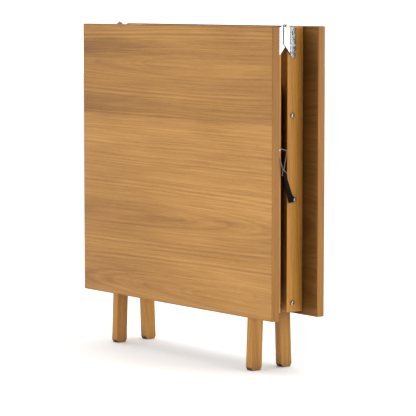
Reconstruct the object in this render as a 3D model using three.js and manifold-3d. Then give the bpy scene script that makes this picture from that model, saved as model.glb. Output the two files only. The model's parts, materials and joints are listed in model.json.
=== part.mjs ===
// A folding dining table, folded shut and standing on its own feet.
// Two equal leaves hang from a steel hinge along their top edges, like a book with its spine up.
// Inside each leaf is a leg frame that turns on two bolts, and a pair of braces that turn on two more.
// Opened, the leaves lie level in one line, and each brace drops over a stud on its leg.
// Millimetres, +Z up, X along the hinge line, the front leaf on the -Y side.
// The origin is on the floor, in the middle of the table.

import * as THREE from "three";
import { mergeVertices } from "three/addons/utils/BufferGeometryUtils.js";
import { RoundedBoxGeometry } from "three/addons/geometries/RoundedBoxGeometry.js";
import Module from "manifold-3d";

const wasm = await Module();
wasm.setup();

// ---- Driving dimensions ----------------------------------------------------------------------

const GAP = 0.3; // between pieces that touch

const LEAF_LENGTH = 800; // from the hinge edge to the free edge
const LEAF_WIDTH = 900;
const BOARD_THICKNESS = 24;
const FOLDED_THICKNESS = 184; // over both leaves
const FOOT_PROJECTION = 152; // the feet stand out below the leaves by this much

const BATTEN_THICKNESS = 24; // along X
const BATTEN_INSET = 63; // from the side of the leaf
const BATTEN_CLEARANCE = 11; // from the middle plane to a batten's edge
const BATTEN_END = 11; // from the free edge of the leaf to a batten's end

const LEG_THICKNESS = 25; // along X
const LEG_WIDTH = 37;
const LEG_INSET = 115; // from the side of the leaf
const LEG_ROUNDING = 4;
const FOOT_CHAMFER = 9;
const LEG_PIVOT_FROM_HINGE_EDGE = 245;
const LEG_PIVOT_Y = 28; // from the middle plane
const LEG_CLEAR_OF_BOARD = 1.1; // where the leg passes the leaf's free edge

const STRETCHER_THICKNESS = 20;
const STRETCHER_HEIGHT = 46;
const UPPER_STRETCHER_BELOW_PIVOT = 88;
const LOWER_STRETCHER_BELOW_PIVOT = 464;

const BRACE_PIVOT_FROM_HINGE_EDGE = 764;
const BRACE_PIVOT_Y = 30;
const BRACE_WIDTH = 18;
const BRACE_INNER_X = 342;
const BRACE_OUTER_X = 359;
const BRACE_PAST_SPACER = 0.8; // the stowed brace lies this far from the leg bolt's spacer

const STUD_BELOW_PIVOT = 240; // along the leg, from the leg bolt to the brace's stud
const STUD_Y = 8; // from the middle plane, on the side of the leg that faces it
const STUD_RADIUS = 3;
const SLOT_RADIUS = 3.6;
const SLOT_OFFSET = 2; // the slot's seat, from the brace's middle line
const SLOT_EXTRA_SLANT = 0.19; // radians, so that the stud slides in as the brace comes down
const SLOT_LENGTH = 24;
const SLOT_FLARE = 2.2; // each side of the mouth

const BOLT_RADIUS = 3;
const BOLT_HOLE_RADIUS = BOLT_RADIUS + GAP;
const BOLT_HEAD_RADIUS = 7.2;
const BOLT_HEAD_HEIGHT = 4.4;
const SPACER_RADIUS = 5;
const WASHER_RADIUS = 8;

const SCREW_RADIUS = 1.9;
const SCREW_HOLE_RADIUS = SCREW_RADIUS + GAP;
const SCREW_LENGTH = 16; // in the wood
const STRETCHER_SCREW_LENGTH = 46;
const STRETCHER_PILOT_DEPTH = 26; // in the end of the lower stretcher

const HINGE_AXIS_ABOVE_LEAF = 0.6;
const PLATE_THICKNESS = 2.5;
const PLATE_LAP_GAP = 0.5; // between the two plates where they lap
const PLATE_EAR_RADIUS = 6.5; // round the rivet
const PLATE_SCREWS_BELOW_TOP = [[29, 17], [30, 66]]; // Y, and how far below the leaf's top
const RIVET_RADIUS = 3;
const RIVET_HEAD_RADIUS = 5;

const CATCH_PLATE_HALF_WIDTH = 7;
const CATCH_PLATE_END_RADIUS = 5.5; // round the stud
const CATCH_RIVET_RADIUS = 3.6;

// Places on the closure, as Y and Z.
const HOOK_PEG = [-21, 614]; // on the front batten
const HOOK_LOOP = [[-29, 621], [6, 611.5], [-6.5, 558]]; // the wire round the peg
const STRAP_BAR = [-2.5, 546.5]; // the middle of the wire in the strap's eye
const STRAP_FOOT = [21, 475]; // the lower end of the strap's middle line
const STRAP_SCREW = [33, 475]; // on the rear batten, in a lug beside the foot
const BAIL_OFF_BATTEN = 4.2; // from the batten's face to the middle of the wire
const BAR_HALF_LENGTH = 10;
const WIRE_RADIUS = 1.3;
const STRAP_THICKNESS = 2.6;
const STRAP_HALF_WIDTH = 8;
const STRAP_END_HALF_WIDTH = 4.6; // at the eye
const STRAP_EYE_RADIUS = 3.5;
const STRAP_LUG_RADIUS = 6;

// ---- Places worked out from them -------------------------------------------------------------

const LEAF_BOTTOM = FOOT_PROJECTION;
const LEAF_TOP = LEAF_BOTTOM + LEAF_LENGTH;
const OUTER_Y = FOLDED_THICKNESS / 2;
const BOARD_INNER_Y = OUTER_Y - BOARD_THICKNESS;
const BATTEN_OUTER_X = LEAF_WIDTH / 2 - BATTEN_INSET;
const BATTEN_INNER_X = BATTEN_OUTER_X - BATTEN_THICKNESS;
const BATTEN_TOP = LEAF_TOP - 2;
const BATTEN_BOTTOM = LEAF_BOTTOM + BATTEN_END;
const LEG_OUTER_X = LEAF_WIDTH / 2 - LEG_INSET;
const LEG_INNER_X = LEG_OUTER_X - LEG_THICKNESS;
const LEG_PIVOT_Z = LEAF_TOP - LEG_PIVOT_FROM_HINGE_EDGE;
const BRACE_PIVOT_Z = LEAF_TOP - BRACE_PIVOT_FROM_HINGE_EDGE;
const HINGE_Z = LEAF_TOP + HINGE_AXIS_ABOVE_LEAF;
const PLATE_SCREWS = PLATE_SCREWS_BELOW_TOP.map(([y, below]) => [y, LEAF_TOP - below]);

// The folded legs lean out towards their boards: the tangent of that lean.
const LEG_AT_FREE_EDGE_Y = BOARD_INNER_Y - LEG_CLEAR_OF_BOARD - LEG_WIDTH / 2;
const LEG_LEAN = (LEG_AT_FREE_EDGE_Y - LEG_PIVOT_Y) / (LEG_PIVOT_Z - LEAF_BOTTOM);
const legY = (z) => LEG_PIVOT_Y + (LEG_PIVOT_Z - z) * LEG_LEAN;

// The stowed brace leans in, so that it passes between the leg bolt's spacer and the middle plane.
const BRACE_AT_SPACER_Y = LEG_PIVOT_Y - SPACER_RADIUS - BRACE_PAST_SPACER - BRACE_WIDTH / 2;
const BRACE_LEAN = Math.atan2(BRACE_PIVOT_Y - BRACE_AT_SPACER_Y, LEG_PIVOT_Z - BRACE_PIVOT_Z);

// With the leg a quarter turn open, the stud lies this far from the brace's bolt,
// along the leaf and away from it.
const STUD_ALONG_LEAF = LEG_PIVOT_Z - BRACE_PIVOT_Z + (LEG_PIVOT_Y - STUD_Y);
const STUD_OFF_LEAF = STUD_BELOW_PIVOT + (BRACE_PIVOT_Y - LEG_PIVOT_Y);
const SLOT_REACH = Math.sqrt(STUD_ALONG_LEAF ** 2 + STUD_OFF_LEAF ** 2 - SLOT_OFFSET ** 2);
const BRACE_END = SLOT_REACH + 9;

// ---- Finishes --------------------------------------------------------------------------------

const finish = (color, roughness, metalness) =>
  new THREE.MeshStandardMaterial({ color, roughness, metalness });

const oakVeneer = () => finish(0xcd9b62, 0.5, 0);
const solidOak = () => finish(0xb27c44, 0.55, 0);
const legOak = () => finish(0xb98743, 0.5, 0);
const zincSteel = () => finish(0xd2d4d6, 0.3, 1);
const nickelSteel = () => finish(0xdcdcdc, 0.2, 1);
const nylon = () => finish(0xe6e3da, 0.6, 0);
const blackRubber = () => finish(0x201d1b, 0.7, 0);

// ---- Solids ----------------------------------------------------------------------------------

// A closed geometry as a solid that can be joined and cut.
function solid(geometry) {
  const bare = new THREE.BufferGeometry();
  bare.setAttribute("position", geometry.getAttribute("position"));
  if (geometry.index) bare.setIndex(geometry.index);
  const merged = mergeVertices(bare, 1e-4);
  return new wasm.Manifold(
    new wasm.Mesh({
      numProp: 3,
      vertProperties: merged.attributes.position.array,
      triVerts: new Uint32Array(merged.index.array),
    }),
  );
}

function geometryOf(made) {
  const mesh = made.getMesh();
  const geometry = new THREE.BufferGeometry();
  geometry.setAttribute("position", new THREE.BufferAttribute(mesh.vertProperties, 3));
  geometry.setIndex(new THREE.BufferAttribute(mesh.triVerts, 1));
  return geometry;
}

const cut = (geometry, ...tools) =>
  geometryOf(tools.reduce((left, tool) => left.subtract(solid(tool)), solid(geometry)));

const join = (geometry, ...others) =>
  geometryOf(others.reduce((sum, other) => sum.add(solid(other)), solid(geometry)));

const overlap = (a, b) => geometryOf(solid(a).intersect(solid(b)));

// Turns a shape drawn in Y and Z, extruded along the local Z, so that it runs along X.
const ALONG_X = new THREE.Matrix4().makeBasis(
  new THREE.Vector3(0, 1, 0),
  new THREE.Vector3(0, 0, 1),
  new THREE.Vector3(1, 0, 0),
);

// An outline in Y and Z with a thickness along X, its long edges rounded.
function plateX(outline, x0, x1, rounding = 0, curveSegments = 5) {
  const geometry = new THREE.ExtrudeGeometry(outline, {
    depth: x1 - x0 - 2 * rounding,
    curveSegments,
    bevelEnabled: rounding > 0,
    bevelThickness: rounding,
    bevelSize: rounding,
    bevelOffset: -rounding,
    bevelSegments: 2,
  });
  return geometry.translate(0, 0, x0 + rounding).applyMatrix4(ALONG_X);
}

// A turned piece on an axis along X through (y, z): its profile is pairs of radius and X.
function turnedX(profile, y, z, segments = 16) {
  const points = profile.map(([radius, x]) => new THREE.Vector2(radius, x));
  const rising = points[points.length - 1].y > points[0].y;
  const ordered = rising ? points : points.reverse();
  return new THREE.LatheGeometry(ordered, segments).rotateZ(-Math.PI / 2).translate(0, y, z);
}

const rodX = (radius, x0, x1, y, z, segments = 12) =>
  turnedX([[0, x0], [radius, x0], [radius, x1], [0, x1]], y, z, segments);

const tubeX = (outer, inner, x0, x1, y, z) =>
  cut(rodX(outer, x0, x1, y, z, 16), rodX(inner, x0 - 1, x1 + 1, y, z));

function block(x0, x1, y0, y1, z0, z1, rounding) {
  const box = new RoundedBoxGeometry(x1 - x0, y1 - y0, z1 - z0, 1, rounding);
  return box.translate((x0 + x1) / 2, (y0 + y1) / 2, (z0 + z1) / 2);
}

function piece(name, geometry, material) {
  const mesh = new THREE.Mesh(geometry, material);
  mesh.name = name;
  return mesh;
}

// The same geometry on the other side of the YZ plane.
function otherSide(geometry) {
  const mirrored = geometry.index ? geometry.toNonIndexed() : geometry.clone();
  mirrored.scale(-1, 1, 1);
  const position = mirrored.getAttribute("position");
  for (let i = 0; i < position.count; i += 3) {
    const first = [position.getX(i), position.getY(i), position.getZ(i)];
    position.setXYZ(i, position.getX(i + 1), position.getY(i + 1), position.getZ(i + 1));
    position.setXYZ(i + 1, ...first);
  }
  return mirrored;
}

// ---- Wooden pieces, drawn for the right end of the rear leaf ----------------------------------

const board = () =>
  block(-LEAF_WIDTH / 2, LEAF_WIDTH / 2, BOARD_INNER_Y, OUTER_Y, LEAF_BOTTOM, LEAF_TOP, 1.2);

function batten(extraHoles) {
  const bar = block(
    BATTEN_INNER_X, BATTEN_OUTER_X, BATTEN_CLEARANCE, BOARD_INNER_Y - GAP, BATTEN_BOTTOM, BATTEN_TOP, 1.5);
  const through = (y, z) => rodX(BOLT_HOLE_RADIUS, BATTEN_INNER_X - 1, BATTEN_OUTER_X + 1, y, z);
  const pilot = ([y, z]) =>
    rodX(SCREW_HOLE_RADIUS, BATTEN_OUTER_X - SCREW_LENGTH - GAP, BATTEN_OUTER_X + 1, y, z, 8);
  return cut(
    bar,
    through(LEG_PIVOT_Y, LEG_PIVOT_Z),
    through(BRACE_PIVOT_Y, BRACE_PIVOT_Z),
    ...[...PLATE_SCREWS, ...extraHoles].map(pilot),
  );
}

// A bar with a round top end and a chamfered foot, sheared over so that its foot stays level.
function leg() {
  const half = LEG_WIDTH / 2;
  const outline = new THREE.Shape();
  outline.moveTo(-half + FOOT_CHAMFER * 0.6, 0);
  outline.lineTo(half - FOOT_CHAMFER * 0.6, 0);
  outline.lineTo(half, FOOT_CHAMFER);
  outline.lineTo(half, LEG_PIVOT_Z);
  outline.absarc(0, LEG_PIVOT_Z, half, 0, Math.PI, false);
  outline.lineTo(-half, FOOT_CHAMFER);
  outline.closePath();
  const lean = new THREE.Matrix4().set(
    1, 0, 0, 0,
    0, 1, -LEG_LEAN, LEG_PIVOT_Y + LEG_PIVOT_Z * LEG_LEAN,
    0, 0, 1, 0,
    0, 0, 0, 1);
  const bar = plateX(outline, LEG_INNER_X, LEG_OUTER_X, LEG_ROUNDING).applyMatrix4(lean);
  const hole = (radius, below) =>
    rodX(radius, LEG_INNER_X - 1, LEG_OUTER_X + 1, legY(LEG_PIVOT_Z - below), LEG_PIVOT_Z - below);
  return cut(bar, hole(BOLT_HOLE_RADIUS, 0), hole(SCREW_HOLE_RADIUS, LOWER_STRETCHER_BELOW_PIVOT));
}

function stretcher(below, screwed) {
  const z = LEG_PIVOT_Z - below;
  const end = LEG_INNER_X - GAP;
  const half = STRETCHER_THICKNESS / 2;
  const bar = block(
    -end, end, legY(z) - half, legY(z) + half, z - STRETCHER_HEIGHT / 2, z + STRETCHER_HEIGHT / 2, 2);
  if (!screwed) return bar;
  const pilot = (x0, x1) => rodX(SCREW_HOLE_RADIUS, x0, x1, legY(z), z, 8);
  return cut(
    bar,
    pilot(end - STRETCHER_PILOT_DEPTH, end + 1),
    pilot(-end - 1, -end + STRETCHER_PILOT_DEPTH),
  );
}

// The brace is drawn along local +Y from its bolt, then stood up and leaned in.
// Its slot slants, so that the stud slides in during the last few degrees of opening.
function brace() {
  const half = BRACE_WIDTH / 2;
  const outline = new THREE.Shape();
  outline.absarc(0, 0, half, Math.PI, 2 * Math.PI, false);
  outline.lineTo(half, BRACE_END - half);
  outline.absarc(0, BRACE_END - half, half, 0, Math.PI, false);
  outline.closePath();
  const slot = new THREE.Shape();
  slot.absarc(0, 0, SLOT_RADIUS, 0, Math.PI, false);
  slot.lineTo(-SLOT_RADIUS - SLOT_FLARE, -SLOT_LENGTH);
  slot.lineTo(SLOT_RADIUS + SLOT_FLARE, -SLOT_LENGTH);
  slot.closePath();
  const slant = Math.atan2(STUD_OFF_LEAF, STUD_ALONG_LEAF) + SLOT_EXTRA_SLANT;
  const slotTool = plateX(slot, BRACE_INNER_X - 1, BRACE_OUTER_X + 1)
    .rotateX(-Math.PI / 2 + slant)
    .translate(0, -SLOT_OFFSET, SLOT_REACH);
  const bar = cut(
    plateX(outline, BRACE_INNER_X, BRACE_OUTER_X, 1.5),
    slotTool,
    rodX(BOLT_HOLE_RADIUS, BRACE_INNER_X - 1, BRACE_OUTER_X + 1, 0, 0),
  );
  return bar.rotateX(BRACE_LEAN).translate(0, BRACE_PIVOT_Y, BRACE_PIVOT_Z);
}

// ---- Steel pieces ----------------------------------------------------------------------------

// A connector bolt: a low domed head on the batten, a shank, and the same head on its sleeve nut.
function bolt(nutX, y, z) {
  const headX = BATTEN_OUTER_X + GAP;
  const dome = (seat, rise) => [
    [BOLT_HEAD_RADIUS, seat],
    [BOLT_HEAD_RADIUS, seat + 0.35 * rise],
    [0.7 * BOLT_HEAD_RADIUS, seat + 0.85 * rise],
    [0, seat + rise],
  ];
  const nut = dome(nutX, -BOLT_HEAD_HEIGHT).reverse();
  const shank = [[BOLT_RADIUS, nutX], [BOLT_RADIUS, headX]];
  return turnedX([...nut, ...shank, ...dome(headX, BOLT_HEAD_HEIGHT)], y, z);
}

// A pan-head screw seated at x, pointing inwards.
function screw(x, y, z, length, headRadius, headHeight) {
  const profile = [
    [0, x - length],
    [SCREW_RADIUS, x - length + 3],
    [SCREW_RADIUS, x],
    [headRadius, x],
    [headRadius, x + 0.45 * headHeight],
    [0.7 * headRadius, x + headHeight],
    [0, x + headHeight],
  ];
  return turnedX(profile, y, z, 12);
}

// The plate is as tall as a hand is wide, with an ear round the rivet and a slanted lower edge.
function hingePlateOutline() {
  const outline = new THREE.Shape();
  outline.absarc(0, HINGE_Z, PLATE_EAR_RADIUS, 0.35, Math.PI, false);
  outline.lineTo(-PLATE_EAR_RADIUS, LEAF_TOP - 48);
  outline.lineTo(25, LEAF_TOP - 86);
  outline.absarc(30, LEAF_TOP - 81, 7, 1.25 * Math.PI, 1.9 * Math.PI, false);
  outline.lineTo(39, LEAF_TOP - 64);
  outline.lineTo(39, LEAF_TOP - 6);
  outline.absarc(36, LEAF_TOP - 6, 3, 0, Math.PI / 2, false);
  outline.lineTo(14, LEAF_TOP - 3);
  outline.closePath();
  return outline;
}

// A plate's section in X and Y, from over the rivet to past its outer edge.
// The lapped one steps outwards, to pass over the other plate.
function hingePlate(lapped) {
  const base = BATTEN_OUTER_X + GAP;
  const step = lapped ? PLATE_THICKNESS + PLATE_LAP_GAP : 0;
  const inner = [[-20, step], [15, step], [20, 0], [50, 0]];
  const outer = inner.map(([y, x]) => [y, x + PLATE_THICKNESS]).reverse();
  const section = new THREE.Shape([...inner, ...outer].map(([y, x]) => new THREE.Vector2(base + x, y)));
  const sheet = new THREE.ExtrudeGeometry(section, { depth: 140, bevelEnabled: false });
  sheet.translate(0, 0, LEAF_TOP - 110);
  const blank = plateX(hingePlateOutline(), base - 5, base + 15);
  const holes = PLATE_SCREWS.map(([y, z]) => rodX(SCREW_HOLE_RADIUS, base - 6, base + 16, y, z));
  const rivetHole = rodX(RIVET_RADIUS + GAP, base - 6, base + 16, 0, HINGE_Z);
  return cut(overlap(blank, sheet), ...holes, rivetHole);
}

// Steel plate on the side of the leg, with the stud that the opened brace rests on.
function catchPlate() {
  const x0 = LEG_OUTER_X + GAP;
  const x1 = x0 + PLATE_THICKNESS;
  const z = LEG_PIVOT_Z - STUD_BELOW_PIVOT;
  const far = legY(z) + 8;
  const half = CATCH_PLATE_HALF_WIDTH;
  const outline = new THREE.Shape();
  outline.absarc(far, z, half, -Math.PI / 2, Math.PI / 2, false);
  outline.lineTo(STUD_Y + 6, z + half);
  outline.absarc(STUD_Y, z, CATCH_PLATE_END_RADIUS, Math.PI / 2, 1.5 * Math.PI, false);
  outline.lineTo(STUD_Y + 6, z - half);
  outline.closePath();
  const head = CATCH_RIVET_RADIUS;
  const rivetProfile = [[0, x1 - 1], [head, x1 - 1], [head, x1 + 0.5], [2, x1 + 1.4], [0, x1 + 1.6]];
  const rivetHead = (y) => turnedX(rivetProfile, y, z, 12);
  const stud = rodX(STUD_RADIUS, x1 - 1, BRACE_OUTER_X - 2, STUD_Y, z, 16);
  return join(plateX(outline, x0, x1), stud, rivetHead(legY(z) - 8), rivetHead(far - 1));
}

// The rivet that the two plates of one side turn on.
function hingeRivet() {
  const seatIn = BATTEN_OUTER_X;
  const seatOut = BATTEN_OUTER_X + 2 * GAP + 2 * PLATE_THICKNESS + PLATE_LAP_GAP;
  const profile = [
    [0, seatIn - 4],
    [RIVET_HEAD_RADIUS * 0.6, seatIn - 3.6],
    [RIVET_HEAD_RADIUS, seatIn - 1.4],
    [RIVET_HEAD_RADIUS, seatIn],
    [RIVET_RADIUS, seatIn],
    [RIVET_RADIUS, seatOut],
    [RIVET_HEAD_RADIUS, seatOut],
    [RIVET_HEAD_RADIUS, seatOut + 1.2],
    [RIVET_HEAD_RADIUS * 0.6, seatOut + 3.2],
    [0, seatOut + 3.6],
  ];
  return turnedX(profile, 0, HINGE_Z, 20);
}

// ---- One half of the table -------------------------------------------------------------------

// Everything on one leaf, drawn as the rear leaf. The front leaf is the same half, turned round.
// right and left are the names of its ends that lie at +X and -X before it is turned.
function tableHalf(leaf, right, left) {
  const half = new THREE.Group();
  const put = (name, geometry, material) => half.add(piece(name, geometry, material));
  const ends = [[right, (g) => g], [left, otherSide]];
  const closureHole = leaf === "rear" ? STRAP_SCREW : [-HOOK_PEG[0], HOOK_PEG[1]];
  const closureEnd = "right";
  const lappedEnd = right; // at this end the half's hinge plate is the outer one
  const lowerZ = LEG_PIVOT_Z - LOWER_STRETCHER_BELOW_PIVOT;
  const gapX = [LEG_OUTER_X + GAP, BATTEN_INNER_X - GAP]; // from the leg to the batten

  put(`${leaf}_board`, board(), oakVeneer());
  put(`${leaf}_upper_stretcher`, stretcher(UPPER_STRETCHER_BELOW_PIVOT, false), legOak());
  put(`${leaf}_lower_stretcher`, stretcher(LOWER_STRETCHER_BELOW_PIVOT, true), legOak());

  for (const [end, sided] of ends) {
    const name = `${leaf}_${end}`;
    const add = (part, geometry, material) => put(`${name}_${part}`, sided(geometry), material);
    add("batten", batten(end === closureEnd ? [closureHole] : []), solidOak());
    add("leg", leg(), legOak());
    add("brace", brace(), solidOak());
    add("leg_bolt", bolt(LEG_INNER_X - GAP, LEG_PIVOT_Y, LEG_PIVOT_Z), nickelSteel());
    const spacer = tubeX(SPACER_RADIUS, BOLT_HOLE_RADIUS, ...gapX, LEG_PIVOT_Y, LEG_PIVOT_Z);
    add("leg_spacer", spacer, zincSteel());
    add("brace_bolt", bolt(BRACE_INNER_X - GAP, BRACE_PIVOT_Y, BRACE_PIVOT_Z), nickelSteel());
    const washerX = [BRACE_OUTER_X + GAP, BATTEN_INNER_X - GAP];
    const washer = tubeX(WASHER_RADIUS, BOLT_HOLE_RADIUS, ...washerX, BRACE_PIVOT_Y, BRACE_PIVOT_Z);
    add("brace_washer", washer, nylon());
    add("catch_plate", catchPlate(), zincSteel());
    const longScrew = screw(gapX[0], legY(lowerZ), lowerZ, STRETCHER_SCREW_LENGTH, 5, 2.6);
    add("stretcher_screw", longScrew, zincSteel());
    add("hinge_plate", hingePlate(end === lappedEnd), zincSteel());
    const plateFace = BATTEN_OUTER_X + 2 * GAP + PLATE_THICKNESS;
    PLATE_SCREWS.forEach(([y, z], i) => {
      const plateScrew = screw(plateFace, y, z, SCREW_LENGTH + PLATE_THICKNESS, 4.4, 2.2);
      add(`hinge_screw_${i + 1}`, plateScrew, nickelSteel());
    });
  }
  return half;
}

// ---- The strap that keeps the folded leaves shut ----------------------------------------------

// A bent wire along straight lines between points in Y and Z, with round corners.
function wire(points, x) {
  const pieces = [];
  points.forEach(([y, z], i) => {
    const [nextY, nextZ] = points[(i + 1) % points.length];
    const run = Math.hypot(nextY - y, nextZ - z);
    const rod = new THREE.CylinderGeometry(WIRE_RADIUS, WIRE_RADIUS, run, 8);
    rod.rotateX(Math.atan2(nextZ - z, nextY - y));
    rod.translate(x, (y + nextY) / 2, (z + nextZ) / 2);
    pieces.push(rod, new THREE.SphereGeometry(WIRE_RADIUS * 1.02, 8, 6).translate(x, y, z));
  });
  return join(...pieces);
}

function closure() {
  const group = new THREE.Group();
  const put = (name, geometry, material) => group.add(piece(name, geometry, material));
  const x = BATTEN_OUTER_X + BAIL_OFF_BATTEN;
  const [footY, footZ] = STRAP_FOOT;
  const [screwY, screwZ] = STRAP_SCREW;

  // Places on the strap: s along its middle line, from its foot up to the wire, and w across it.
  const rise = [STRAP_BAR[0] - footY, STRAP_BAR[1] - footZ];
  const barAt = Math.hypot(...rise);
  const along = rise.map((r) => r / barAt);
  const at = (s, w) => [footY + along[0] * s - along[1] * w, footZ + along[1] * s + along[0] * w];

  const strapLoop = [HOOK_LOOP[2], at(barAt, BAR_HALF_LENGTH), at(barAt, -BAR_HALF_LENGTH)];
  put("closure_bail", join(wire(HOOK_LOOP, x), wire(strapLoop, x)), nickelSteel());

  // The strap's side view, in X and along its length, with a rolled eye round the wire.
  const side = new THREE.Shape();
  const thick = STRAP_THICKNESS / 2;
  const neck = Math.asin(thick / STRAP_EYE_RADIUS);
  const tail = 2 * STRAP_LUG_RADIUS;
  side.moveTo(-thick, -tail);
  side.lineTo(thick, -tail);
  side.absarc(0, barAt, STRAP_EYE_RADIUS, -Math.PI / 2 + neck, 1.5 * Math.PI - neck, false);
  side.closePath();
  const depth = 5 * STRAP_HALF_WIDTH;
  const lengthwise = new THREE.Matrix4().makeBasis(
    new THREE.Vector3(1, 0, 0),
    new THREE.Vector3(0, along[0], along[1]),
    new THREE.Vector3(0, -along[1], along[0]),
  );
  const rolled = new THREE.ExtrudeGeometry(side, { depth, bevelEnabled: false, curveSegments: 10 })
    .translate(0, 0, -depth / 2)
    .applyMatrix4(lengthwise)
    .translate(x, footY, footZ);

  // Its front view: a tapered tongue, with the lug that the screw goes through.
  const far = barAt + STRAP_EYE_RADIUS + 1.5;
  const corners = [
    at(far, -STRAP_END_HALF_WIDTH),
    at(far, STRAP_END_HALF_WIDTH),
    at(-STRAP_LUG_RADIUS, STRAP_HALF_WIDTH),
    [screwY, screwZ - STRAP_LUG_RADIUS],
    [screwY, screwZ + STRAP_LUG_RADIUS],
    at(1.5 * STRAP_HALF_WIDTH, -STRAP_HALF_WIDTH),
  ];
  const tongue = new THREE.Shape(corners.map((c) => new THREE.Vector2(...c)));
  const lug = rodX(STRAP_LUG_RADIUS, x - 10, x + 10, screwY, screwZ, 20);
  const front = join(plateX(tongue, x - 10, x + 10), lug);
  const wireRoom = new THREE.CylinderGeometry(WIRE_RADIUS + GAP, WIRE_RADIUS + GAP, 30, 12)
    .rotateX(Math.atan2(along[0], -along[1]))
    .translate(x, ...STRAP_BAR);
  const screwRoom = rodX(SCREW_HOLE_RADIUS, x - 5, x + 5, screwY, screwZ);
  put("closure_strap", cut(overlap(rolled, front), wireRoom, screwRoom), blackRubber());

  // Both screws pass the wire's or the strap's thickness before they reach the wood.
  const seated = (seat, y, z, headRadius, headHeight) =>
    screw(seat, y, z, seat - BATTEN_OUTER_X + SCREW_LENGTH, headRadius, headHeight);
  const strapScrew = seated(x + thick + GAP, screwY, screwZ, 5.2, 2.6);
  put("closure_strap_screw", strapScrew, nickelSteel());
  put("closure_peg", seated(x + WIRE_RADIUS + GAP, ...HOOK_PEG, 4, 2.4), nickelSteel());
  return group;
}

// ---- The table -------------------------------------------------------------------------------

const table = new THREE.Group();
table.add(tableHalf("rear", "right", "left"));

const frontHalf = tableHalf("front", "left", "right");
frontHalf.rotation.z = Math.PI;
table.add(frontHalf);

table.add(piece("right_hinge_rivet", hingeRivet(), nickelSteel()));
table.add(piece("left_hinge_rivet", otherSide(hingeRivet()), nickelSteel()));
table.add(closure());

export default table;
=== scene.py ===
"""A folding oak table, folded shut and standing on its own feet.

Metres, +Z up, the hinge along X, the front leaf on the -Y side. After the studio, the sections go
from the large pieces to the small ones: boards, battens, legs, stretchers, braces, hinges, bolts,
spacers and washers, catch plates, stretcher screws and the closure.
"""

import json
import math

import bmesh
import bpy
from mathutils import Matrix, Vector


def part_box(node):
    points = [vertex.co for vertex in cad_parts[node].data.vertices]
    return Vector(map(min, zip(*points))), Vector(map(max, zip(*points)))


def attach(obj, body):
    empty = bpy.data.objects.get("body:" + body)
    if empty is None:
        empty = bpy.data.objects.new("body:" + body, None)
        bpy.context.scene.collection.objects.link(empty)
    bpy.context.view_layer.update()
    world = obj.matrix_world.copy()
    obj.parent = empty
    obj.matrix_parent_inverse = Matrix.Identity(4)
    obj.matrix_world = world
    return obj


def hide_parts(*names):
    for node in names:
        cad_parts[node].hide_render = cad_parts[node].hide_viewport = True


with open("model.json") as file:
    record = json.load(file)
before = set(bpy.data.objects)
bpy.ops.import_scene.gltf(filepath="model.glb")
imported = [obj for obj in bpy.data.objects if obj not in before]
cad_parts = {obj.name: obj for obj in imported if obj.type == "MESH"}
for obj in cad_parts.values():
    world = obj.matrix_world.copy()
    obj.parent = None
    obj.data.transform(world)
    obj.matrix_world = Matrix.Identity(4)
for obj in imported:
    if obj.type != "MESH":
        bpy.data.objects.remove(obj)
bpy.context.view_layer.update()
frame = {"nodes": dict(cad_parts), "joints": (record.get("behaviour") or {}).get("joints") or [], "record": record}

# ---- Studio ------------------------------------------------------------------------------------
# White paper in a room of white light that is dimmer on the side behind the camera, with a broad
# softbox overhead, a small one low in front and one behind on the right. A long lens stands well
# back, a little above the top of the table.

CAMERA_AIM = Vector((0.044, 0, 0.428))
CAMERA_DISTANCE = 6.441
CAMERA_TURN = math.radians(52.47)  # from straight in front, towards +X
CAMERA_RISE = math.radians(5.39)
CAMERA_LENS = 194.2

away = Vector(
    (
        math.sin(CAMERA_TURN) * math.cos(CAMERA_RISE),
        -math.cos(CAMERA_TURN) * math.cos(CAMERA_RISE),
        math.sin(CAMERA_RISE),
    )
)
bpy.ops.object.camera_add(location=CAMERA_AIM + away * CAMERA_DISTANCE)
camera = bpy.context.object
camera.rotation_euler = away.to_track_quat("Z", "Y").to_euler()
camera.data.lens = CAMERA_LENS
camera.data.sensor_width = 36
camera.data.clip_end = 100
bpy.context.scene.camera = camera
bpy.context.scene.view_settings.view_transform = "Standard"


def softbox(name, place, size, watts):
    """A square softbox that faces the middle of the table."""
    bpy.ops.object.light_add(type="AREA", location=place)
    lamp = bpy.context.object
    lamp.name = name
    lamp.data.size = size
    lamp.data.energy = watts
    lamp.rotation_euler = (Vector(place) - CAMERA_AIM).to_track_quat("Z", "Y").to_euler()


softbox("overhead_softbox", (-0.2, 0.3, 3.2), 2.4, 30)
softbox("front_softbox", (0.3, -1.7, 0.35), 0.8, 16)
softbox("back_softbox", (2.6, 1.2, 0.9), 1.6, 24)


def linear(hex_colour):
    """An sRGB hex colour as linear red, green and blue, with an alpha of 1."""
    parts = [int(hex_colour[i : i + 2], 16) / 255 for i in (1, 3, 5)]
    return [c / 12.92 if c <= 0.04045 else ((c + 0.055) / 1.055) ** 2.4 for c in parts] + [1]


def add(tree, kind, inputs=(), stops=(), **settings):
    """Adds a shader node. An input is a value or the socket that feeds it. Stops fill a ramp."""
    node = tree.nodes.new("ShaderNode" + kind)
    for setting, value in settings.items():
        setattr(node, setting, value)
    for socket, value in dict(inputs).items():
        if isinstance(value, bpy.types.NodeSocket):
            tree.links.new(value, node.inputs[socket])
        else:
            node.inputs[socket].default_value = value
    for i, (place, colour) in enumerate(stops):
        elements = node.color_ramp.elements
        stop = elements[i] if i < 2 else elements.new(place)
        stop.position = place
        stop.color = colour
    return node


def new_material(name):
    """A material with an empty node tree, and the tree."""
    material = bpy.data.materials.new(name)
    material.use_nodes = True
    material.node_tree.nodes.clear()
    return material, material.node_tree


def surface(tree, **inputs):
    """Ends a material with its shader."""
    named = {
        name.replace("_", " ").title().replace("Ior", "IOR"): value
        for name, value in inputs.items()
    }
    shader = add(tree, "BsdfPrincipled", named)
    add(tree, "OutputMaterial", {"Surface": shader.outputs[0]})


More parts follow.
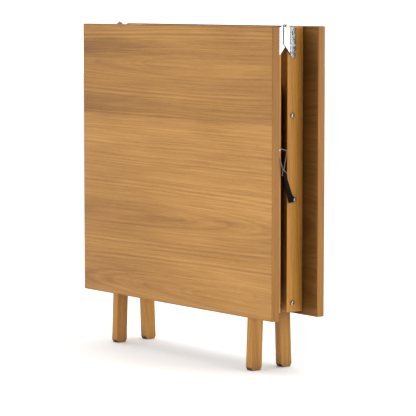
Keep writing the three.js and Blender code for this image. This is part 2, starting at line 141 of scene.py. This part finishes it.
ROOM_LIGHT = 1.5
DIM_LIGHT = 0.30
DIM_SIDE = (0.72, -0.69, 0)  # the way the dimmer side of the room lies
DIM_START, DIM_END = -0.1, 0.7  # how far round towards it the light fades, as cosines

world = bpy.data.worlds.new("white_room")
bpy.context.scene.world = world
world.use_nodes = True
world.node_tree.nodes.clear()
look = add(world.node_tree, "TexCoord").outputs["Generated"]
facing = add(
    world.node_tree, "VectorMath", {0: look, 1: DIM_SIDE}, operation="DOT_PRODUCT"
).outputs["Value"]
room = add(
    world.node_tree, "MapRange",
    {0: facing, 1: DIM_START, 2: DIM_END, 3: ROOM_LIGHT, 4: DIM_LIGHT},
    interpolation_type="SMOOTHSTEP",
).outputs[0]
light = add(world.node_tree, "Background", {"Color": (1, 1, 1, 1), "Strength": room})
add(world.node_tree, "OutputWorld", {"Surface": light.outputs[0]})

# Matt white paper: it takes the soft shadow and nothing else.
paper, paper_tree = new_material("matt_white_paper")
surface(paper_tree, base_color=linear("#FAFAFA"), roughness=0.9)

bpy.ops.mesh.primitive_plane_add(size=40, location=(0, 0, 0))
floor = bpy.context.object
floor.name = "studio_floor"
floor.data.materials.append(paper)

# ---- Boards ------------------------------------------------------------------------------------
# Each leaf is a particle core faced with oak veneer on both sides, its grain along the hinge, in
# three sheets joined edge to edge. Solid oak lippings are glued round it, mitred at the corners,
# and their outer edges are rounded over by hand.

LIPPING = 0.003
LIPPING_ROUND = 0.0012
PANEL_ROUND = 0.0003
BAND_WANDER = 0.05
BAND_DEPTHS = (1.3, 0.5)  # how strongly the dark bands show at the left and right ends
VENEER_JOINTS = (0.17, 0.675)  # heights of the two joints, as shares of the leaf
HEARTS = (0.20, 0.405, 0.845)  # height of the middle of each sheet's arches
HEART_LEAN = 0.055  # radians between the heart of the log and the grain
SWAY = 0.012  # how far the rings stray from round
NOOK_SHADE_COLOUR = (0.07, 0.04, 0.02, 1)  # painted shade: what the deepest nooks keep of the wood's colour
NEAR = 1e-5  # points closer than this are in one place


def bar(name, low, high):
    """A square bar between two corners, as it comes off the saw."""
    bpy.ops.object.select_all(action="DESELECT")
    bpy.ops.mesh.primitive_cube_add(size=1, location=(Vector(low) + Vector(high)) / 2)
    piece = bpy.context.object
    piece.name = name
    piece.scale = Vector(high) - Vector(low)
    bpy.ops.object.transform_apply(location=True, rotation=True, scale=True)
    return piece


def pick(piece, kind, wanted):
    """Opens a piece for editing with only the points, edges or faces that pass a test selected."""
    bpy.ops.object.select_all(action="DESELECT")
    bpy.context.view_layer.objects.active = piece
    piece.select_set(True)
    bpy.ops.object.mode_set(mode="EDIT")
    bpy.ops.mesh.select_mode(type=kind)
    bpy.ops.mesh.select_all(action="DESELECT")
    shape = bmesh.from_edit_mesh(piece.data)
    for element in {"VERT": shape.verts, "EDGE": shape.edges, "FACE": shape.faces}[kind]:
        if wanted(element):
            element.select_set(True)
    shape.select_flush_mode()
    bmesh.update_edit_mesh(piece.data)


def done():
    """Closes the piece that is open for editing."""
    bpy.ops.object.mode_set(mode="OBJECT")


def modify(piece, kind, **settings):
    """Adds a modifier and applies it."""
    bpy.ops.object.select_all(action="DESELECT")
    bpy.context.view_layer.objects.active = piece
    piece.select_set(True)
    modifier = piece.modifiers.new(kind.title(), kind)
    for setting, value in settings.items():
        setattr(modifier, setting, value)
    bpy.ops.object.modifier_apply(modifier=modifier.name)


def shade(sharp=35):
    """Shades the selected piece smooth, but for edges that turn more than that many degrees."""
    bpy.ops.object.shade_smooth_by_angle(angle=math.radians(sharp))


def soften(piece, width, segments=3, sharp=30):
    """Rounds every edge over, as sandpaper does, and shades the flats flat and the rounds round."""
    modify(
        piece,
        "BEVEL",
        width=width,
        segments=segments,
        limit_method="ANGLE",
        angle_limit=math.radians(sharp),
    )
    shade(32)
    modify(piece, "WEIGHTED_NORMAL", keep_sharp=True)


BODY_OF = {
    node: body for body, nodes in frame["record"]["behaviour"]["bodies"].items() for node in nodes
}


def fit(piece, material, node, stands_for=True):
    """Gives a piece its material, and joins it to the body that a CAD node belongs to."""
    piece.data.materials.clear()
    piece.data.materials.append(material)
    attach(piece, BODY_OF[node])
    if stands_for:
        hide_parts(node)


def joined_sheets(tree, place, grain, sheets, bands):
    """Shifts the grain from sheet to sheet of a board's veneer. Gives it back with the tone: each
    sheet's own, less the darker bands, which wander a little and fade towards the right."""
    low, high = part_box("front_board")
    spot = add(tree, "SeparateXYZ", {0: place})
    share = add(tree, "MapRange", {0: spot.outputs["Z"], 1: low.z, 2: high.z}).outputs[0]
    sheet = add(tree, "ValToRGB", {0: share}, sheets)
    sheet.color_ramp.interpolation = "CONSTANT"
    heart, own_tone, along = add(tree, "SeparateColor", {0: sheet.outputs[0]}).outputs
    shift = add(tree, "CombineXYZ", {"X": along, "Z": heart}).outputs[0]
    grain = add(tree, "VectorMath", {0: grain, 1: shift}, operation="SUBTRACT").outputs[0]
    drift = add(tree, "Mapping", {"Vector": place, "Scale": (3, 1, 4)}).outputs[0]
    drift = add(tree, "TexNoise", {"Vector": drift, "Scale": 1, "Detail": 3}).outputs[0]
    strayed = add(
        tree, "Math", {0: drift, 1: BAND_WANDER, 2: share}, operation="MULTIPLY_ADD"
    ).outputs[0]
    band = add(tree, "ValToRGB", {0: strayed}, bands).outputs[0]
    left, right = BAND_DEPTHS
    depth = add(
        tree, "MapRange", {0: spot.outputs["X"], 1: low.x, 2: high.x, 3: -left, 4: -right}
    ).outputs[0]
    tone = add(tree, "Math", {0: band, 1: depth}, operation="MULTIPLY").outputs[0]
    tone = add(tree, "Math", {0: own_tone, 1: tone}, operation="ADD").outputs[0]
    return grain, tone


def oak(
    name, pale, middle, dark, turn=(0, 0, 0), heart=(0, 0, 0), ring=0.005, sheets=(), bands=(),
    nook_shade=(0.09, 0.34, 0.5),
):
    """Oak with its grain along the turned X. Growth rings round a heart that lies a little askew
    give straight lines and long arches, fine fibres lie along them, and the open pores are short
    dark dashes, drawn wider than the real 0.3 mm so that they show. Shade is painted into the
    colour of the nooks: the three nook values are how far a near piece counts, then the open share
    of the surroundings at which the painted shade is darkest, and at which there is none."""
    material, tree = new_material(name)
    place = add(tree, "TexCoord").outputs["Object"]
    grain = add(tree, "Mapping", {"Vector": place, "Rotation": turn}).outputs[0]
    tone = 0.0
    if sheets:
        grain, tone = joined_sheets(tree, place, grain, sheets, bands)
    bend = add(tree, "Mapping", {"Vector": grain, "Scale": (2.2, 7, 7)}).outputs[0]
    sway = add(tree, "TexNoise", {"Vector": bend, "Scale": 1, "Detail": 2}).outputs["Color"]
    swayed = add(
        tree, "VectorMath", {0: sway, 1: (0, SWAY, SWAY), 2: grain}, operation="MULTIPLY_ADD"
    ).outputs[0]
    log = add(
        tree, "Mapping", {"Vector": swayed, "Location": heart, "Rotation": (0, 0, HEART_LEAN)}
    ).outputs[0]
    section = add(tree, "VectorMath", {0: log, 1: (0, 1, 1)}, operation="MULTIPLY").outputs[0]
    radius = add(tree, "VectorMath", {0: section}, operation="LENGTH").outputs["Value"]
    count = add(tree, "Math", {0: radius, 1: 1 / ring}, operation="MULTIPLY").outputs[0]
    rings = add(
        tree, "TexNoise", {"W": count, "Scale": 1, "Detail": 3, "Roughness": 0.6},
        noise_dimensions="1D",
    ).outputs[0]
    thread = add(tree, "Mapping", {"Vector": swayed, "Scale": (4, 170, 170)}).outputs[0]
    fibres = add(
        tree, "TexNoise", {"Vector": thread, "Scale": 1, "Detail": 5, "Roughness": 0.7}
    ).outputs[0]
    dash = add(tree, "Mapping", {"Vector": swayed, "Scale": (45, 1100, 1100)}).outputs[0]
    pores = add(tree, "TexNoise", {"Vector": dash, "Scale": 1, "Detail": 1}).outputs[0]
    open_pores = add(
        tree, "ValToRGB", {0: pores}, [(0.60, (0, 0, 0, 1)), (0.72, (1, 1, 1, 1))]
    ).outputs[0]
    cloud = add(tree, "Mapping", {"Vector": grain, "Scale": (1.3, 9, 9)}).outputs[0]
    clouds = add(tree, "TexNoise", {"Vector": cloud, "Scale": 1, "Detail": 2}).outputs[0]
    for layer, share in ((rings, 0.26), (fibres, 0.34), (clouds, 0.26), (open_pores, -0.07)):
        tone = add(
            tree, "Math", {0: layer, 1: share, 2: tone}, operation="MULTIPLY_ADD"
        ).outputs[0]
    colour = add(
        tree, "ValToRGB", {0: tone},
        [(0.28, linear(dark)), (0.56, linear(pale)), (0.43, linear(middle))],
    ).outputs[0]
    reach, deep, open_air = nook_shade
    # Painted shade: the colour is darkened where near pieces close the surroundings in, in gaps, recesses and
    # corners.
    nook = add(tree, "AmbientOcclusion", {"Distance": reach}, samples=6).outputs["AO"]
    painted_shade = add(
        tree, "ValToRGB", {0: nook}, [(deep, NOOK_SHADE_COLOUR), (open_air, (1, 1, 1, 1))]
    ).outputs[0]
    colour = add(tree, "VectorMath", {0: colour, 1: painted_shade}, operation="MULTIPLY").outputs[0]
    relief = add(
        tree, "Math", {0: open_pores, 1: -0.8, 2: fibres}, operation="MULTIPLY_ADD"
    ).outputs[0]
    normal = add(tree, "Bump", {"Height": relief, "Strength": 0.12, "Distance": 0.0004}).outputs[0]
    rough = add(tree, "MapRange", {0: fibres, 3: 0.40, 4: 0.56}).outputs[0]
    surface(tree, base_color=colour, roughness=rough, specular_ior_level=0.3, normal=normal)
    return material


# Crown-cut oak veneer under a satin lacquer: honey coloured, with long arches and straight lines.
# Each sheet gives the height of its heart, its tone, and how far the log is shifted along.
veneer_sheets = [
    (0, (HEARTS[0], 0.01, 0.83, 1)),
    (VENEER_JOINTS[0], (HEARTS[1], 0.03, -0.04, 1)),
    (VENEER_JOINTS[1], (HEARTS[2], -0.04, 0.59, 1)),
]
# Broad darker bands of late growth: the share of the leaf's height, with the two ends first, and
# how much darker the wood is there.
veneer_bands = [
    (share, (deep, deep, deep, 1))
    for share, deep in (
        (0, 0), (1, 0), (0.08, 0.03), (0.12, 0), (0.27, 0.02), (0.325, 0.09), (0.40, 0.02),
        (0.50, 0), (0.68, 0), (0.70, 0.10), (0.745, 0.10), (0.77, 0.03), (0.90, 0.01),
        (0.925, 0.06), (0.96, 0.06), (0.98, 0),
    )
]
crown_cut_veneer = oak(
    "crown_cut_oak_veneer", "#B18245", "#9A6D31", "#79501F",
    heart=(0, 0.105, 0), ring=0.006, sheets=veneer_sheets, bands=veneer_bands,
    # painted shade on the veneer reaches far, and fades out only where the surroundings are almost wholly open
    nook_shade=(0.16, 0.16, 0.92),
)

# Straight-grained solid oak strip, sanded and lacquered: a little redder than the veneer.
upright_lipping_oak = oak(
    "upright_lipping_oak", "#A27028", "#92601C", "#784A12", turn=(0, math.pi / 2, 0), ring=0.003
)
level_lipping_oak = oak("level_lipping_oak", "#A67432", "#966626", "#7C4E1A", ring=0.003)

for leaf in ("front", "rear"):
    node = leaf + "_board"
    low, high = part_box(node)
    rim = Vector((LIPPING, 0, LIPPING))
    panel = bar(leaf + "_veneered_panel", low + rim, high - rim)
    modify(panel, "BEVEL", width=PANEL_ROUND, segments=1)
    fit(panel, crown_cut_veneer, node)

    level = {
        "bottom": (low, Vector((high.x, high.y, low.z + LIPPING))),
        "top": (Vector((low.x, low.y, high.z - LIPPING)), high),
    }
    upright = {
        "left": (low, Vector((low.x + LIPPING, high.y, high.z))),
        "right": (Vector((high.x - LIPPING, low.y, low.z)), high),
    }
    middle = (low + high) / 2
    for side, (strip_low, strip_high) in {**level, **upright}.items():
        strip = bar(f"{leaf}_lipping_{side}", strip_low, strip_high)
        along, out = (0, 2) if side in level else (2, 0)
        inner = min((strip_low[out], strip_high[out]), key=lambda at: abs(at - middle[out]))
        length = strip_high[along] - strip_low[along]
        pick(strip, "VERT", lambda point: abs(point.co[out] - inner) < NEAR)
        mitre = [1, 1, 1]
        mitre[along] = (length - 2 * LIPPING) / length
        bpy.ops.transform.resize(value=mitre, center_override=(strip_low + strip_high) / 2)
        done()
        soften(strip, LIPPING_ROUND)
        wood = level_lipping_oak if side in level else upright_lipping_oak
        fit(strip, wood, node, stands_for=False)

# ---- Battens -----------------------------------------------------------------------------------
# A solid oak batten is screwed and glued inside each end of a leaf. It stiffens the leaf, and the
# hinge plates and all the bolts are fixed to it.

BATTEN_ROUND = 0.0018

batten_oak = oak(
    "solid_oak_battens", "#D6994A", "#C48838", "#9E6826",
    turn=(0, math.pi / 2, 0), heart=(0, 0.02, 0.31), ring=0.0045,
)
CORNERS = [(leaf, end) for leaf in ("front", "rear") for end in ("right", "left")]

for leaf, end in CORNERS:
    node = f"{leaf}_{end}_batten"
    batten = bar(node + "_rail", *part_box(node))
    soften(batten, BATTEN_ROUND)
    fit(batten, batten_oak, node)

# ---- Legs --------------------------------------------------------------------------------------
# Solid oak, planed with well rounded edges, round at the top where it turns on its bolt, and
# chamfered at the foot. Folded, each leg leans out a little, so that its foot spreads.

LEG_HALF = 0.0185  # half the leg's width
LEG_TOP_ROUND = 0.999 * LEG_HALF  # just short of a half circle
FOOT_CHAMFER = 0.009
FOOT_NARROWING = 0.0054
LEG_LEAN = 0.036757  # outwards, for each metre down from the bolt
LEG_ROUND = 0.0035


def joint_place(name):
    """A point on a joint's axis, with the table folded."""
    return Vector(next(joint["pos_m"] for joint in frame["joints"] if joint["name"] == name))


leg_bolt_place = {"front": joint_place("leaf_fold"), "rear": joint_place("rear_leg_fold")}
leg_oak = oak(
    "solid_oak_legs", "#B8863C", "#A6742C", "#84561C",
    turn=(0, math.pi / 2, 0), heart=(0, 0.015, 0.27), ring=0.004,
)

for leaf, end in CORNERS:
    node = f"{leaf}_{end}_leg"
    low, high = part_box(node)
    bolt = leg_bolt_place[leaf]
    top = bolt.z + LEG_HALF
    leg = bar(
        node + "_bar",
        (low.x, bolt.y - LEG_HALF, FOOT_CHAMFER),
        (high.x, bolt.y + LEG_HALF, top),
    )
    pick(leg, "FACE", lambda face: face.normal.z < -0.5)
    bpy.ops.mesh.extrude_region_move(TRANSFORM_OT_translate={"value": (0, 0, -FOOT_CHAMFER)})
    bpy.ops.transform.resize(
        value=(1, (LEG_HALF - FOOT_NARROWING) / LEG_HALF, 1), center_override=(0, bolt.y, 0)
    )
    done()
    pick(
        leg,
        "EDGE",
        lambda edge: all(point.co.z > top - NEAR for point in edge.verts)
        and abs(edge.verts[0].co.y - edge.verts[1].co.y) < NEAR,
    )
    bpy.ops.mesh.bevel(offset=LEG_TOP_ROUND, segments=14, affect="EDGES")
    done()
    outwards = 1 if leaf == "rear" else -1
    for height in (0, FOOT_CHAMFER):
        pick(leg, "VERT", lambda point: abs(point.co.z - height) < NEAR)
        spread = outwards * LEG_LEAN * (bolt.z - height)
        bpy.ops.transform.translate(value=(0, spread, 0))
        done()
    soften(leg, LEG_ROUND, 4, sharp=28)
    fit(leg, leg_oak, node)

# ---- Stretchers --------------------------------------------------------------------------------
# Two oak rails join each pair of legs: one just under the bolts, and one low down that also takes
# a long screw through each leg.

STRETCHER_ROUND = 0.002

stretcher_oak = oak(
    "solid_oak_stretchers", "#9A6C36", "#8A5D2A", "#6C461C",
    heart=(0, 0.03, -0.2), ring=0.004,
)
for leaf in ("front", "rear"):
    for height in ("upper", "lower"):
        node = f"{leaf}_{height}_stretcher"
        rail = bar(node + "_rail", *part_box(node))
        soften(rail, STRETCHER_ROUND)
        fit(rail, stretcher_oak, node)

# ---- Braces ------------------------------------------------------------------------------------
# A narrow oak arm on a bolt low in each batten. Stowed, it lies between batten and leg. With the
# table open its slanting slot drops over a stud on the leg.


def copied(node, name):
    """A CAD node's shape as a mesh of its own, with its loose triangles merged into whole faces."""
    piece = bpy.data.objects.new(name, frame["nodes"][node].data.copy())
    bpy.context.collection.objects.link(piece)
    pick(piece, "VERT", lambda point: True)
    bpy.ops.mesh.remove_doubles(threshold=NEAR)
    bpy.ops.mesh.dissolve_limited(angle_limit=math.radians(0.5))
    done()
    return piece


brace_oak = oak(
    "solid_oak_braces", "#8C5F2E", "#7A5024", "#5E3B18",
    turn=(0, math.pi / 2, 0), heart=(0, 0.01, 0.29), ring=0.0035,
)
for leaf, end in CORNERS:
    node = f"{leaf}_{end}_brace"
    arm = copied(node, node + "_arm_bar")
    shade(32)
    fit(arm, brace_oak, node)

# ---- Hinges ------------------------------------------------------------------------------------
# At each end two plates of zinc-plated steel, pressed from 2.5 mm sheet, are screwed to the battens
# and lap at a rivet. The outer one is joggled, so that it passes over the other.

PLATE_ROUND = 0.0005
TARNISH = 0.62  # how bright the dull patches are beside the bright ones
OUTWARD = {"right": 1, "left": -1}  # the way each end's outer side faces along X
ROUND_POINTS = 40  # round anything turned


def metal(name, colour, roughness, spread, patch):
    """Bare plated metal: its shine varies in patches, and it has the fine grain of rolled sheet."""
    material, tree = new_material(name)
    place = add(tree, "TexCoord").outputs["Object"]
    patches = add(
        tree, "TexNoise", {"Vector": place, "Scale": 1 / patch, "Detail": 4}
    ).outputs[0]
    rough = add(
        tree, "MapRange", {0: patches, 1: 0.3, 2: 0.7, 3: roughness - spread, 4: roughness + spread}
    ).outputs[0]
    tint = add(
        tree, "ValToRGB", {0: patches},
        [(0.35, [c * TARNISH for c in linear(colour)[:3]] + [1]), (0.65, linear(colour))],
    ).outputs[0]
    fine = add(tree, "TexNoise", {"Vector": place, "Scale": 900, "Detail": 2}).outputs[0]
    normal = add(tree, "Bump", {"Height": fine, "Strength": 0.08, "Distance": 0.0002}).outputs[0]
    surface(tree, base_color=tint, metallic=1.0, roughness=rough, normal=normal)
    return material


# Bright zinc plate on pressed steel: cool grey, with a soft mottled shine.
zinc = metal("bright_zinc_plated_steel", "#C6C9C9", 0.24, 0.08, 0.007)
# Nickel plate on turned steel: warmer and smoother.
nickel = metal("nickel_plated_steel", "#B2AFA8", 0.26, 0.05, 0.002)

for leaf, end in CORNERS:
    node = f"{leaf}_{end}_hinge_plate"
    plate = copied(node, node + "_pressed")
    soften(plate, PLATE_ROUND, 2, sharp=20)
    fit(plate, zinc, node)


def turned(name, side, centre, profile):
    """A piece turned on an axis along X through a centre. The profile is pairs of a distance along
    the axis, outwards on that side of the table, and a radius."""
    start, radius = profile[0]
    bpy.ops.object.select_all(action="DESELECT")
    bpy.ops.mesh.primitive_circle_add(
        vertices=ROUND_POINTS,
        radius=radius,
        fill_type="NGON",
        location=(centre[0] + side * start, centre[1], centre[2]),
        rotation=(0, math.pi / 2, 0),
    )
    piece = bpy.context.object
    piece.name = name
    bpy.ops.object.transform_apply(location=True, rotation=True, scale=True)
    pick(piece, "FACE", lambda face: True)
    for distance, new_radius in profile[1:]:
        step = side * (distance - start)
        bpy.ops.mesh.extrude_region_move(TRANSFORM_OT_translate={"value": (step, 0, 0)})
        growth = new_radius / radius
        bpy.ops.transform.resize(
            value=(1, growth, growth),
            center_override=(centre[0] + side * distance, centre[1], centre[2]),
        )
        start, radius = distance, new_radius
    bpy.ops.mesh.select_all(action="SELECT")
    bpy.ops.mesh.normals_make_consistent(inside=False)
    done()
    return piece


def carve(piece, cutter):
    """Cuts one piece out of another, and throws the cutter away."""
    modify(piece, "BOOLEAN", operation="DIFFERENCE", object=cutter, solver="EXACT")
    bpy.data.objects.remove(cutter)


def cross_recess(piece, top, centre, width, depth):
    """Two crossed slots for a screwdriver, in a head whose top is at that X."""
    for wide, high in ((width, width / 4), (width / 4, width)):
        slot = bar(
            "slot",
            (top - depth, centre[1] - wide / 2, centre[2] - high / 2),
            (top + depth, centre[1] + wide / 2, centre[2] + high / 2),
        )
        carve(piece, slot)


def pan_head(radius, height):
    """The outline of a pan head from its seat outwards, then its flat top."""
    return [
        (0, radius), (0.35 * height, radius), (0.62 * height, 0.93 * radius),
        (0.84 * height, 0.78 * radius), (0.96 * height, 0.58 * radius), (height, 0.40 * radius),
    ]


SCREW_SHANK = 0.0019
SCREW_TIP = 0.3 * SCREW_SHANK
SMALL_CROSS = (0.0044, 0.0011)  # width and depth of a screw's recess


def screw(node, side, head, cross, length, point):
    """A pan head screw with a cross recess, turned to stand where a node does. Its head is given as
    radius and height, its point as the length that tapers."""
    low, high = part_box(node)
    head_top = high.x if side > 0 else low.x
    centre = Vector((head_top, (low.y + high.y) / 2, (low.z + high.z) / 2))
    radius, height = head
    shank = [(-length, SCREW_TIP), (-length + point, SCREW_SHANK), (-height, SCREW_SHANK)]
    seat = [(s - height, r) for s, r in pan_head(radius, height)]
    piece = turned(node + "_turned", side, centre, shank + seat)
    cross_recess(piece, head_top, centre, *cross)
    shade()
    return piece


HINGE_SCREW_HEAD = (0.0044, 0.0022)
HINGE_SCREW_LENGTH, HINGE_SCREW_POINT = 0.018, 0.002

for leaf, end in CORNERS:
    for number in (1, 2):
        node = f"{leaf}_{end}_hinge_screw_{number}"
        hinge_screw = screw(
            node, OUTWARD[end], HINGE_SCREW_HEAD, SMALL_CROSS, HINGE_SCREW_LENGTH, HINGE_SCREW_POINT
        )
        fit(hinge_screw, nickel, node)

RIVET_HEAD_RADIUS = 0.005
RIVET_NECK_RADIUS = 0.003
INNER_DOME, INNER_HEAD = 0.0036, 0.0040  # heights of the dome alone and of the whole head
OUTER_DOME, OUTER_HEAD = 0.0032, 0.0036

quarter_turn = [math.radians(15 * step) for step in range(1, 7)]

for end, side in OUTWARD.items():
    node = end + "_hinge_rivet"
    low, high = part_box(node)
    centre = Vector(((low.x + high.x) / 2, 0, (low.z + high.z) / 2))
    reach = (high.x - low.x) / 2
    outline = [
        (-reach + INNER_DOME * (1 - math.cos(a)), RIVET_HEAD_RADIUS * math.sin(a))
        for a in quarter_turn
    ]
    outline += [
        (-reach + INNER_HEAD, RIVET_HEAD_RADIUS),
        (-reach + INNER_HEAD, RIVET_NECK_RADIUS),
        (reach - OUTER_HEAD, RIVET_NECK_RADIUS),
        (reach - OUTER_HEAD, RIVET_HEAD_RADIUS),
    ]
    outline += [
        (reach - OUTER_DOME * (1 - math.cos(a)), RIVET_HEAD_RADIUS * math.sin(a))
        for a in reversed(quarter_turn)
    ]
    rivet = turned(node + "_domed", side, centre, outline)
    shade()
    fit(rivet, nickel, node)

# ---- Bolts -------------------------------------------------------------------------------------
# Furniture connector bolts, nickel plated, with a wide low head and a hexagon socket. A sleeve nut
# with the same head closes each one on the inner side.

HEAD_RADIUS = 0.0072
HEAD_HEIGHT = 0.0044
SHANK_RADIUS = 0.003
SHANK_GAP = 0.001  # between the end of the shank and the sleeve nut's head, inside the wood
SOCKET_RADIUS = 0.0029  # out to its corners
SOCKET_DEPTH = 0.0024


def bolt_head(seat, way):
    """The outline of the wide head from its seat outwards."""
    shape = [
        (0, 1), (0.30, 1), (0.52, 0.955), (0.72, 0.86), (0.87, 0.73), (0.96, 0.60), (1, 0.46),
    ]
    return [(seat + way * s * HEAD_HEIGHT, r * HEAD_RADIUS) for s, r in shape]


def hexagon_socket(piece, x, centre):
    """A hexagon socket in a head whose top is at that X."""
    bpy.ops.object.select_all(action="DESELECT")
    bpy.ops.mesh.primitive_cylinder_add(
        vertices=6,
        radius=SOCKET_RADIUS,
        depth=2 * SOCKET_DEPTH,
        location=(x, centre[1], centre[2]),
        rotation=(0, math.pi / 2, 0),
    )
    carve(piece, bpy.context.object)


for leaf, end in CORNERS:
    side = OUTWARD[end]
    for kind in ("leg", "brace"):
        node = f"{leaf}_{end}_{kind}_bolt"
        low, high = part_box(node)
        centre = ((low.x + high.x) / 2, (low.y + high.y) / 2, (low.z + high.z) / 2)
        reach = (high.x - low.x) / 2
        seat = reach - HEAD_HEIGHT
        shank = [(-seat + SHANK_GAP, SHANK_RADIUS), (seat, SHANK_RADIUS)]
        bolt = turned(node + "_head", side, centre, shank + bolt_head(seat, 1))
        hexagon_socket(bolt, centre[0] + side * reach, centre)
        shade()
        fit(bolt, nickel, node)
        nut = turned(node + "_sleeve_nut", side, centre, bolt_head(-seat, -1))
        hexagon_socket(nut, centre[0] - side * reach, centre)
        shade()
        fit(nut, nickel, node, stands_for=False)

# ---- Spacers and washers -----------------------------------------------------------------------
# A steel tube on each leg bolt holds the leg off the batten, and a nylon washer lets each brace
# turn against it.

BORE_RADIUS = SHANK_RADIUS + 0.0002
TUBE_EDGE = 0.0004
WASHER_EDGE = 0.0005


def ring(name, low, high, bore, edge):
    """A turned ring or tube along X that fills a box, with a bore through it."""
    middle = (low + high) / 2
    outer = (high.y - low.y) / 2
    bpy.ops.object.select_all(action="DESELECT")
    bpy.ops.mesh.primitive_cylinder_add(
        vertices=ROUND_POINTS,
        radius=outer,
        depth=high.x - low.x,
        end_fill_type="NOTHING",
        location=middle,
        rotation=(0, math.pi / 2, 0),
    )
    piece = bpy.context.object
    piece.name = name
    bpy.ops.object.transform_apply(location=True, rotation=True, scale=True)
    modify(piece, "SOLIDIFY", thickness=outer - bore, offset=-1, use_even_offset=True)
    modify(piece, "BEVEL", width=edge, segments=2, limit_method="ANGLE", angle_limit=1.0)
    shade()
    return piece


def moulded(name, dark, pale, grain, detail, strength, depth, **finish):
    """A moulded plastic or rubber, with a fine grain that tints and roughens it."""
    material, tree = new_material(name)
    place = add(tree, "TexCoord").outputs["Object"]
    skin = add(tree, "TexNoise", {"Vector": place, "Scale": grain, "Detail": detail}).outputs[0]
    tint = add(tree, "ValToRGB", {0: skin}, [(0.3, linear(dark)), (0.7, linear(pale))]).outputs[0]
    normal = add(tree, "Bump", {"Height": skin, "Strength": strength, "Distance": depth}).outputs[0]
    surface(tree, base_color=tint, normal=normal, **finish)
    return material


# Moulded nylon, unpainted: milky and slightly waxy.
nylon = moulded(
    "moulded_natural_nylon", "#DDD8CA", "#EEEADF",
    grain=700, detail=2, strength=0.1, depth=0.0002, roughness=0.45, ior=1.53,
)

for leaf, end in CORNERS:
    node = f"{leaf}_{end}_leg_spacer"
    tube = ring(node + "_tube", *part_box(node), BORE_RADIUS, TUBE_EDGE)
    fit(tube, zinc, node)
    node = f"{leaf}_{end}_brace_washer"
    washer = ring(node + "_ring", *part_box(node), BORE_RADIUS, WASHER_EDGE)
    fit(washer, nylon, node)

# ---- Catch plates ------------------------------------------------------------------------------
# A strap of zinc-plated steel is riveted to the side of each leg, with a stud near its end. The
# brace's slot rests on that stud when the table is open.

CATCH_ROUND = 0.0004

for leaf, end in CORNERS:
    node = f"{leaf}_{end}_catch_plate"
    plate = copied(node, node + "_steel")
    soften(plate, CATCH_ROUND, 2, sharp=35)
    fit(plate, zinc, node)

# ---- Stretcher screws --------------------------------------------------------------------------
# A long zinc-plated screw goes through each leg into the end of the lower stretcher. Its head shows
# deep between the battens.

STRETCHER_SCREW_HEAD = (0.005, 0.0026)
STRETCHER_SCREW_CROSS = (0.005, 0.0012)
STRETCHER_SCREW_LENGTH = 0.048
LONG_POINT = 0.003

for leaf, end in CORNERS:
    node = f"{leaf}_{end}_stretcher_screw"
    long_screw = screw(
        node, OUTWARD[end], STRETCHER_SCREW_HEAD, STRETCHER_SCREW_CROSS,
        STRETCHER_SCREW_LENGTH, LONG_POINT,
    )
    fit(long_screw, zinc, node)

# ---- Closure -----------------------------------------------------------------------------------
# A rubber strap is screwed to the rear batten. A bail of bent steel wire turns in its rolled end
# and hooks over a peg on the front batten, which keeps the folded leaves shut.

STRAP_ROUND = 0.0005

# Moulded black rubber: dull, with a faint bloom.
rubber = moulded(
    "moulded_black_rubber", "#080706", "#13100F",
    grain=600, detail=3, strength=0.3, depth=0.0003, roughness=0.75, specular_ior_level=0.12,
)

strap = copied("closure_strap", "closure_strap_moulded")
soften(strap, STRAP_ROUND, 2, sharp=40)
fit(strap, rubber, "closure_strap")

WIRE_RADIUS = 0.0013
WIRE_BEND = 0.0025
BAR_HALF = 0.010  # half the bar that turns in the strap's rolled end
WAIST_HALF = 0.0014  # half the gap where the two wires draw together

# Plain steel wire, long handled: dull and grey.
dull_steel = metal("dull_steel_wire", "#8E8A84", 0.42, 0.08, 0.003)

wire_x = sum(corner.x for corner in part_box("closure_bail")) / 2
strap_foot = Vector((wire_x, 0.021, 0.475))
bar_middle = Vector((wire_x, -0.0025, 0.5465))
waist = Vector((wire_x, -0.0065, 0.558))
across_strap = (bar_middle - strap_foot).normalized().cross(Vector((1, 0, 0)))
bail_points = [
    Vector((wire_x, -0.029, 0.621)),
    Vector((wire_x, 0.006, 0.6115)),
    waist + across_strap * WAIST_HALF,
    bar_middle + across_strap * BAR_HALF,
    bar_middle - across_strap * BAR_HALF,
    waist - across_strap * WAIST_HALF,
]
bpy.ops.object.select_all(action="DESELECT")
bpy.ops.mesh.primitive_circle_add(vertices=len(bail_points), radius=0.01)
bail = bpy.context.object
bail.name = "closure_bail_wire"
for point, place in zip(bail.data.vertices, bail_points):
    point.co = place
pick(bail, "VERT", lambda point: True)
bpy.ops.mesh.bevel(offset=WIRE_BEND, segments=5, affect="VERTICES")
done()
bpy.ops.object.convert(target="CURVE")
bail = bpy.context.object
bail.data.bevel_depth = WIRE_RADIUS
bail.data.bevel_resolution = 4
bpy.ops.object.convert(target="MESH")
bail = bpy.context.object
shade(40)
fit(bail, dull_steel, "closure_bail")

STRAP_SCREW_HEAD = (0.0052, 0.0026)
PEG_HEAD = (0.004, 0.0024)

for node, head in (("closure_strap_screw", STRAP_SCREW_HEAD), ("closure_peg", PEG_HEAD)):
    low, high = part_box(node)
    closure_screw = screw(node, OUTWARD["right"], head, SMALL_CROSS, high.x - low.x, LONG_POINT)
    fit(closure_screw, nickel, node)
